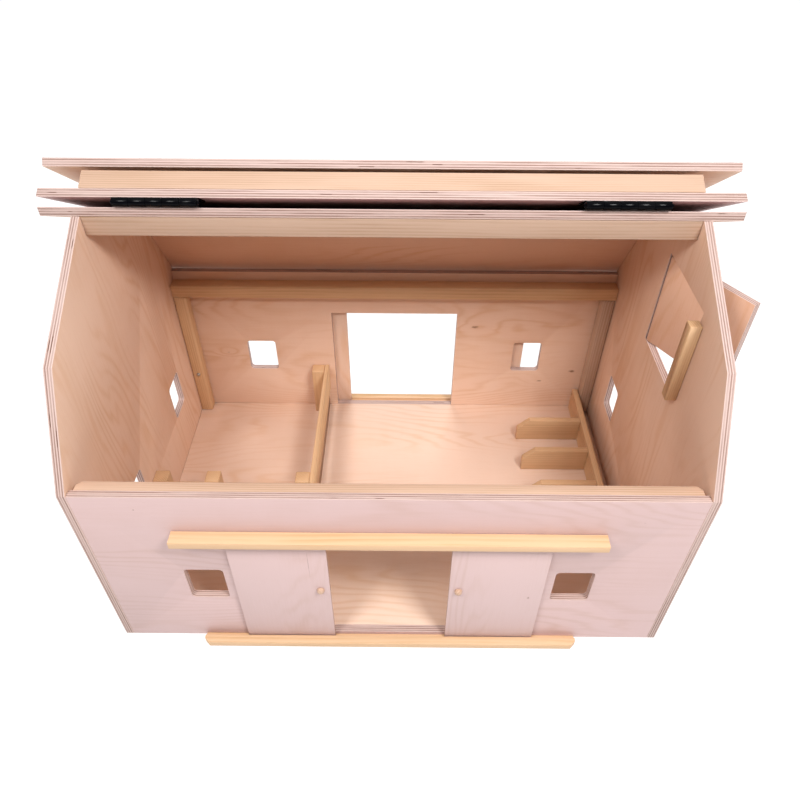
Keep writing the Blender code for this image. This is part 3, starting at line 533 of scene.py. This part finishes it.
def steel_material():
    """Bright zinc-plated steel, mottled with fine grime."""
    made = bpy.data.materials.get("Zinc-plated steel")
    if made:
        return made
    made = bpy.data.materials.new("Zinc-plated steel")
    made.use_nodes = True
    do = Recipe(made.node_tree)
    shader = made.node_tree.nodes["Principled BSDF"]
    place = do.add("ShaderNodeTexCoord").outputs["Object"]
    grime = do.noise(place, (500.0, 500.0, 500.0), 2.0, 3.0)
    colour = do.mix(grime, (0.62, 0.61, 0.60, 1.0), (0.36, 0.35, 0.34, 1.0))
    made.node_tree.links.new(colour, shader.inputs["Base Color"])
    made.node_tree.links.new(do.math("MULTIPLY_ADD", grime, 0.3, 0.2), shader.inputs["Roughness"])
    shader.inputs["Metallic"].default_value = 1.0
    return made


# ---- operators --------------------------------------------------------------------------------
class TOYBARN_OT_plywood(bpy.types.Operator):
    """Finish the gables, walls, floor, roof panels and doors in birch plywood"""
    bl_idname = "toybarn.plywood"
    bl_label = "Plywood panels"

    def execute(self, context):
        look = context.scene.toybarn_plywood
        group = birch_plywood_group()
        # The last value of each panel is painted shade, a gamma that darkens panels that sit in shade and
        # lightens the floor.
        for node, (grain, towards, seed, layers, tone) in PANELS.items():
            bm = merged_mesh(node)
            draft = bpy.data.meshes.new(node + "_draft")
            bm.to_mesh(draft)
            turn, middle = grain_frame(draft, grain, towards)
            thickness = self.thickness(draft)
            bpy.data.meshes.remove(draft)
            values = {"Seed": seed, "Thickness": thickness, "Layers": layers, "Tone": tone,
                      "Figure": look.figure,
                      "Face light": tint(look, "face_light"), "Face dark": tint(look, "face_dark"),
                      "Room light": tint(look, "painted_bounce_light"), "Room dark": tint(look, "painted_bounce_dark"),
                      "Edge light": tint(look, "edge_light"), "Edge dark": tint(look, "edge_dark"),
                      "Glue": tint(look, "glue"), "Knot colour": tint(look, "knot")}
            made, do, place, layer = wood_shader("Birch plywood, " + node.replace("_", " "), group, turn,
                                                 middle, values)
            if node in MARKS:
                add_marks(do, place, layer, self.in_grain(turn, middle, MARKS[node]))
            ease_edges(bm, min(look.eased_edge, thickness / 8))
            add_piece("birch_" + node, bm, BODY_OF[node], made, (node,))
        return {"FINISHED"}

    @staticmethod
    def thickness(mesh):
        normal = widest_normal(mesh)
        spread = [vertex.co.dot(normal) for vertex in mesh.vertices]
        return max(spread) - min(spread)

    @staticmethod
    def in_grain(turn, middle, marks):
        """Marks placed by X and height on an upright panel, placed along and across its grain instead."""
        rows = turn.to_matrix()
        placed = []
        for x, z, *rest in marks:
            spot = rows @ Vector((x, 0.0, z)) - middle
            placed.append((spot.x, spot.y, *rest))
        return placed


class TOYBARN_OT_sticks(bpy.types.Operator):
    """Finish the battens, posts, boards, rails and tracks in solid wood"""
    bl_idname = "toybarn.sticks"
    bl_label = "Battens, posts and tracks"

    def execute(self, context):
        look = context.scene.toybarn_sticks
        group = solid_wood_group()
        # The kick rails get the painted shade colours, dark wood standing in for the shadow under the fence
        # and gate boards.
        for node, (grain, seed, tone) in STICKS.items():
            bm = merged_mesh(node)
            draft = bpy.data.meshes.new(node + "_draft")
            bm.to_mesh(draft)
            turn, middle = grain_frame(draft, grain)
            bpy.data.meshes.remove(draft)
            values = {"Seed": seed, "Ring width": look.ring_width, "Light": tint(look, tone + "_light"),
                      "Dark": tint(look, tone + "_dark")}
            label = f"{tone.capitalize()}, {node.replace('_', ' ')}"
            made = wood_shader(label, group, turn, middle, values)[0]
            ease_edges(bm, look.eased_edge if tone != "stained" else look.eased_edge / 2)
            add_piece("wood_" + node, bm, BODY_OF[node], made, (node,))
        return {"FINISHED"}


class TOYBARN_OT_knobs(bpy.types.Operator):
    """Finish the round wooden buttons of the sliding doors"""
    bl_idname = "toybarn.knobs"
    bl_label = "Door buttons"

    def execute(self, context):
        look = context.scene.toybarn_sticks
        group = bpy.data.node_groups["Solid wood"]
        for number, node in enumerate(KNOBS):
            bm = merged_mesh(node)
            low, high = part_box(node)
            values = {"Seed": KNOB_SEED + number, "Ring width": look.ring_width,
                      "Light": tint(look, "alder_light"), "Dark": tint(look, "alder_dark")}
            swap = Matrix(((0, 0, 1), (0, 1, 0), (1, 0, 0)))
            middle = swap @ ((low + high) / 2)
            label = "Alder, " + node.replace("_", " ")
            made = wood_shader(label, group, swap.to_euler(), middle, values)[0]
            add_piece("wood_" + node, bm, BODY_OF[node], made, (node,), TURNED_CRISP)
        return {"FINISHED"}


def screw_row_tree(material):
    """Screw heads with a cross recess, set in a row along X and facing +Z."""
    tree = bpy.data.node_groups.new("Screw row", "GeometryNodeTree")
    face = tree.interface
    face.new_socket("Geometry", in_out="INPUT", socket_type="NodeSocketGeometry")
    for label, kind, default in (("Count", "NodeSocketInt", 3), ("Spacing", "NodeSocketFloat", 0.028),
                                 ("Head radius", "NodeSocketFloat", 0.0031),
                                 ("Head height", "NodeSocketFloat", 0.0008)):
        socket = face.new_socket(label, in_out="INPUT", socket_type=kind)
        socket.default_value = default
    face.new_socket("Geometry", in_out="OUTPUT", socket_type="NodeSocketGeometry")
    do = Recipe(tree)
    given = do.add("NodeGroupInput").outputs
    radius, height = given["Head radius"], given["Head height"]
    crown = do.math("MULTIPLY", radius, 0.72)
    head = do.add("GeometryNodeMeshCone", {"Vertices": 24, "Side Segments": 1, "Radius Top": crown,
                                           "Radius Bottom": radius, "Depth": height}, fill_type="NGON")
    wide = do.math("MULTIPLY", radius, 1.15)
    narrow = do.math("MULTIPLY", radius, 0.26)
    deep = do.math("MULTIPLY", height, 1.2)
    bars = []
    for first, second in ((wide, narrow), (narrow, wide)):
        size = do.add("ShaderNodeCombineXYZ", {0: first, 1: second, 2: deep}).outputs[0]
        block = do.add("GeometryNodeMeshCube", {"Size": size}).outputs["Mesh"]
        lift = do.add("ShaderNodeCombineXYZ", {2: height}).outputs[0]
        bars.append(do.add("GeometryNodeTransform", {"Geometry": block, "Translation": lift}).outputs[0])
    cut = head.outputs["Mesh"]
    for bar in bars:
        less = do.add("GeometryNodeMeshBoolean", {"Mesh 1": cut}, operation="DIFFERENCE", solver="EXACT")
        tree.links.new(bar, less.inputs["Mesh 2"])
        cut = less.outputs["Mesh"]
    length = do.math("MULTIPLY", do.math("SUBTRACT", given["Count"], 1.0), given["Spacing"])
    first = do.add("ShaderNodeCombineXYZ", {0: do.math("MULTIPLY", length, -0.5)}).outputs[0]
    step = do.add("ShaderNodeCombineXYZ", {0: given["Spacing"]}).outputs[0]
    row = do.add("GeometryNodeMeshLine", {"Count": given["Count"], "Start Location": first, "Offset": step})
    turn = do.add("FunctionNodeRandomValue", {2: 0.0, 3: math.pi / 2, "Seed": 7},
                  data_type="FLOAT").outputs[1]
    spin = do.add("ShaderNodeCombineXYZ", {2: turn}).outputs[0]
    heads = do.add("GeometryNodeInstanceOnPoints", {"Points": row.outputs[0], "Instance": cut,
                                                    "Rotation": spin})
    solid = do.add("GeometryNodeRealizeInstances", {"Geometry": heads.outputs[0]})
    coloured = do.add("GeometryNodeSetMaterial", {"Geometry": solid.outputs[0], "Material": material})
    do.add("NodeGroupOutput", {"Geometry": coloured.outputs[0]})
    return tree


def baked_rows(name, tree, settings, places):
    """Evaluates the tree once and sets a copy of what it makes at each place, in one bmesh."""
    joined = bmesh.new()
    mesh = bpy.data.meshes.new(name + "_seed")
    helper = bpy.data.objects.new(name + "_helper", mesh)
    bpy.context.scene.collection.objects.link(helper)
    steps = helper.modifiers.new("rows", "NODES")
    steps.node_group = tree
    for socket in tree.interface.items_tree:
        if socket.in_out == "INPUT" and socket.name in settings:
            steps[socket.identifier] = settings[socket.name]
    graph = bpy.context.evaluated_depsgraph_get()
    made = bpy.data.meshes.new_from_object(helper.evaluated_get(graph))
    for place in places:
        copy = made.copy()
        copy.transform(place)
        joined.from_mesh(copy)
        bpy.data.meshes.remove(copy)
    bpy.data.objects.remove(helper, do_unlink=True)
    return joined


def leaf_plate(node):
    """Where a leaf's screws go: the plate's middle on its open side, with X along the pin and Z outwards."""
    mesh = NODES[node].data
    low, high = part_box(node.split("_hinge_")[0] + "_hinge_pin")
    pin = (low + high) / 2
    normal = widest_normal(mesh)
    across = normal.cross(ALONG_X)
    reach = [(vertex.co - pin).dot(across) for vertex in mesh.vertices]
    far = max(reach, key=abs)
    rim = [(vertex.co - pin).dot(normal) for vertex, out in zip(mesh.vertices, reach)
           if abs(out - far) < RIM_BAND]
    if max(rim) > 0.0:
        normal, across, far, rim = -normal, -across, -far, [-value for value in rim]
    top = pin + across * far * SCREW_REACH + normal * max(rim)
    turn = Matrix((ALONG_X, across, normal)).transposed().to_4x4()
    if turn.determinant() < 0:
        raise RuntimeError(node + " gave a left-handed place for its screws")
    return Matrix.Translation(top) @ turn


class TOYBARN_OT_hinges(bpy.types.Operator):
    """Finish the black hinges and set the screws in their leaves"""
    bl_idname = "toybarn.hinges"
    bl_label = "Hinges and screws"

    def execute(self, context):
        look = context.scene.toybarn_hinges
        enamel = enamel_material(look)
        for node in HINGE_LEAVES + HINGE_PINS:
            bm = merged_mesh(node)
            if node in HINGE_LEAVES:
                ease_edges(bm, HINGE_EDGE, 2, HINGE_CORNER)
            add_piece("enamelled_" + node, bm, BODY_OF[node], enamel, (node,), HINGE_CRISP)
        tree = screw_row_tree(enamel)
        settings = {"Count": look.screws_per_leaf, "Spacing": look.screw_spacing,
                    "Head radius": look.screw_radius, "Head height": look.screw_height}
        lift = Matrix.Translation((0, 0, look.screw_height / 2))  # half a head's height above the leaf
        for body in sorted({BODY_OF[node] for node in HINGE_LEAVES}):
            places = [leaf_plate(node) @ lift for node in HINGE_LEAVES if BODY_OF[node] == body]
            rows = baked_rows("screws_" + body, tree, settings, places)
            add_piece(f"hinge_screws_{body}", rows, body, enamel)
        return {"FINISHED"}


class TOYBARN_OT_steel(bpy.types.Operator):
    """Finish the loft door's pins and the screw in the corner post"""
    bl_idname = "toybarn.steel"
    bl_label = "Steel pins and screw"

    def execute(self, context):
        steel = steel_material()
        for node in STEEL:
            bm = merged_mesh(node)
            add_piece("steel_" + node, bm, BODY_OF[node], steel, (node,), TURNED_CRISP)
        return {"FINISHED"}


def softbox(name, place, size, power):
    """A square soft light that points at the barn."""
    light = bpy.data.lights.new(name, "AREA")
    light.shape = "SQUARE"
    light.size = size
    light.energy = power
    lamp = bpy.data.objects.new(name, light)
    bpy.context.scene.collection.objects.link(lamp)
    lamp.location = place
    lamp.rotation_euler = (LAMP_TARGET - Vector(place)).to_track_quat("-Z", "Y").to_euler()


class TOYBARN_OT_studio(bpy.types.Operator):
    """Lay the floor, hang the lights and stand the camera"""
    bl_idname = "toybarn.studio"
    bl_label = "Studio"

    def execute(self, context):
        look = context.scene.toybarn_studio
        scene = context.scene
        bm = bmesh.new()
        bmesh.ops.create_grid(bm, x_segments=1, y_segments=1, size=FLOOR_REACH)
        mesh = bpy.data.meshes.new("studio_floor")
        bm.to_mesh(mesh)
        bm.free()
        paper = bpy.data.materials.new("White paper")
        paper.use_nodes = True
        shader = paper.node_tree.nodes["Principled BSDF"]
        shader.inputs["Base Color"].default_value = tint(look, "floor")
        shader.inputs["Roughness"].default_value = 0.9
        shader.inputs["Specular IOR Level"].default_value = 0.1
        shader.inputs["Emission Color"].default_value = (1.0, 1.0, 1.0, 1.0)
        shader.inputs["Emission Strength"].default_value = look.glow
        mesh.materials.append(paper)
        ground = bpy.data.objects.new("studio_floor", mesh)
        ground.location.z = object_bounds()[0][2] - FLOOR_DROP
        scene.collection.objects.link(ground)
        ground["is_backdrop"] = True

        world = bpy.data.worlds.new("Studio")
        world.use_nodes = True
        do = Recipe(world.node_tree)
        background = world.node_tree.nodes["Background"]
        background.inputs["Color"].default_value = (1.0, 1.0, 1.0, 1.0)
        towards = do.add("ShaderNodeTexCoord").outputs["Generated"]
        height = do.math("MAXIMUM", do.add("ShaderNodeSeparateXYZ", {0: towards}).outputs["Z"], 0.0)
        strength = do.math("MULTIPLY_ADD", do.math("POWER", height, 2.0), look.sky, look.horizon)
        seen = do.add("ShaderNodeLightPath").outputs["Is Camera Ray"]
        strength = do.math("MAXIMUM", strength, seen)
        world.node_tree.links.new(strength, background.inputs["Strength"])
        scene.world = world
        for lamp, (place, size) in LAMPS.items():
            softbox(lamp + "_softbox", place, size, getattr(look, lamp))

        lens = bpy.data.cameras.new("camera")
        lens.sensor_width = FRAME_WIDTH
        lens.lens = look.focal_length
        camera = bpy.data.objects.new("camera", lens)
        scene.collection.objects.link(camera)
        ahead = Vector((math.sin(look.yaw) * math.cos(look.pitch), math.cos(look.yaw) * math.cos(look.pitch),
                        -math.sin(look.pitch)))
        level = Vector((math.cos(look.yaw), -math.sin(look.yaw), 0.0))
        above = level.cross(ahead)
        right = level * math.cos(look.roll) + above * math.sin(look.roll)
        top = above * math.cos(look.roll) - level * math.sin(look.roll)
        turn = Matrix((right, top, -ahead)).transposed().to_4x4()
        camera.matrix_world = Matrix.Translation(Vector(look.eye)) @ turn
        scene.camera = camera
        scene.view_settings.view_transform = "Standard"
        return {"FINISHED"}


class TOYBARN_PT_pieces(bpy.types.Panel):
    """The barn's pieces and studio, with their settings"""
    bl_idname = "TOYBARN_PT_pieces"
    bl_label = "Toy barn"
    bl_space_type = "VIEW_3D"
    bl_region_type = "UI"
    bl_category = "Toy barn"

    def draw(self, context):
        for operator in OPERATORS:
            self.layout.operator(operator.bl_idname)
        for attribute, group in SETTINGS.items():
            column = self.layout.column(align=True)
            for name in group.__annotations__:
                column.prop(getattr(context.scene, attribute), name)


SETTINGS = {"toybarn_plywood": ToyBarnPlywood, "toybarn_sticks": ToyBarnSticks,
            "toybarn_hinges": ToyBarnHinges, "toybarn_studio": ToyBarnStudio}
OPERATORS = (TOYBARN_OT_plywood, TOYBARN_OT_sticks, TOYBARN_OT_knobs, TOYBARN_OT_hinges, TOYBARN_OT_steel,
             TOYBARN_OT_studio)


def register():
    for attribute, group in SETTINGS.items():
        bpy.utils.register_class(group)
        setattr(bpy.types.Scene, attribute, bpy.props.PointerProperty(type=group))
    for operator in OPERATORS:
        bpy.utils.register_class(operator)
    bpy.utils.register_class(TOYBARN_PT_pieces)


def unregister():
    bpy.utils.unregister_class(TOYBARN_PT_pieces)
    for operator in reversed(OPERATORS):
        bpy.utils.unregister_class(operator)
    for attribute, group in SETTINGS.items():
        delattr(bpy.types.Scene, attribute)
        bpy.utils.unregister_class(group)


def main():
    register()
    bpy.ops.toybarn.plywood()
    bpy.ops.toybarn.sticks()
    bpy.ops.toybarn.knobs()
    bpy.ops.toybarn.hinges()
    bpy.ops.toybarn.steel()
    bpy.ops.toybarn.studio()


if __name__ == "__main__":
    main()
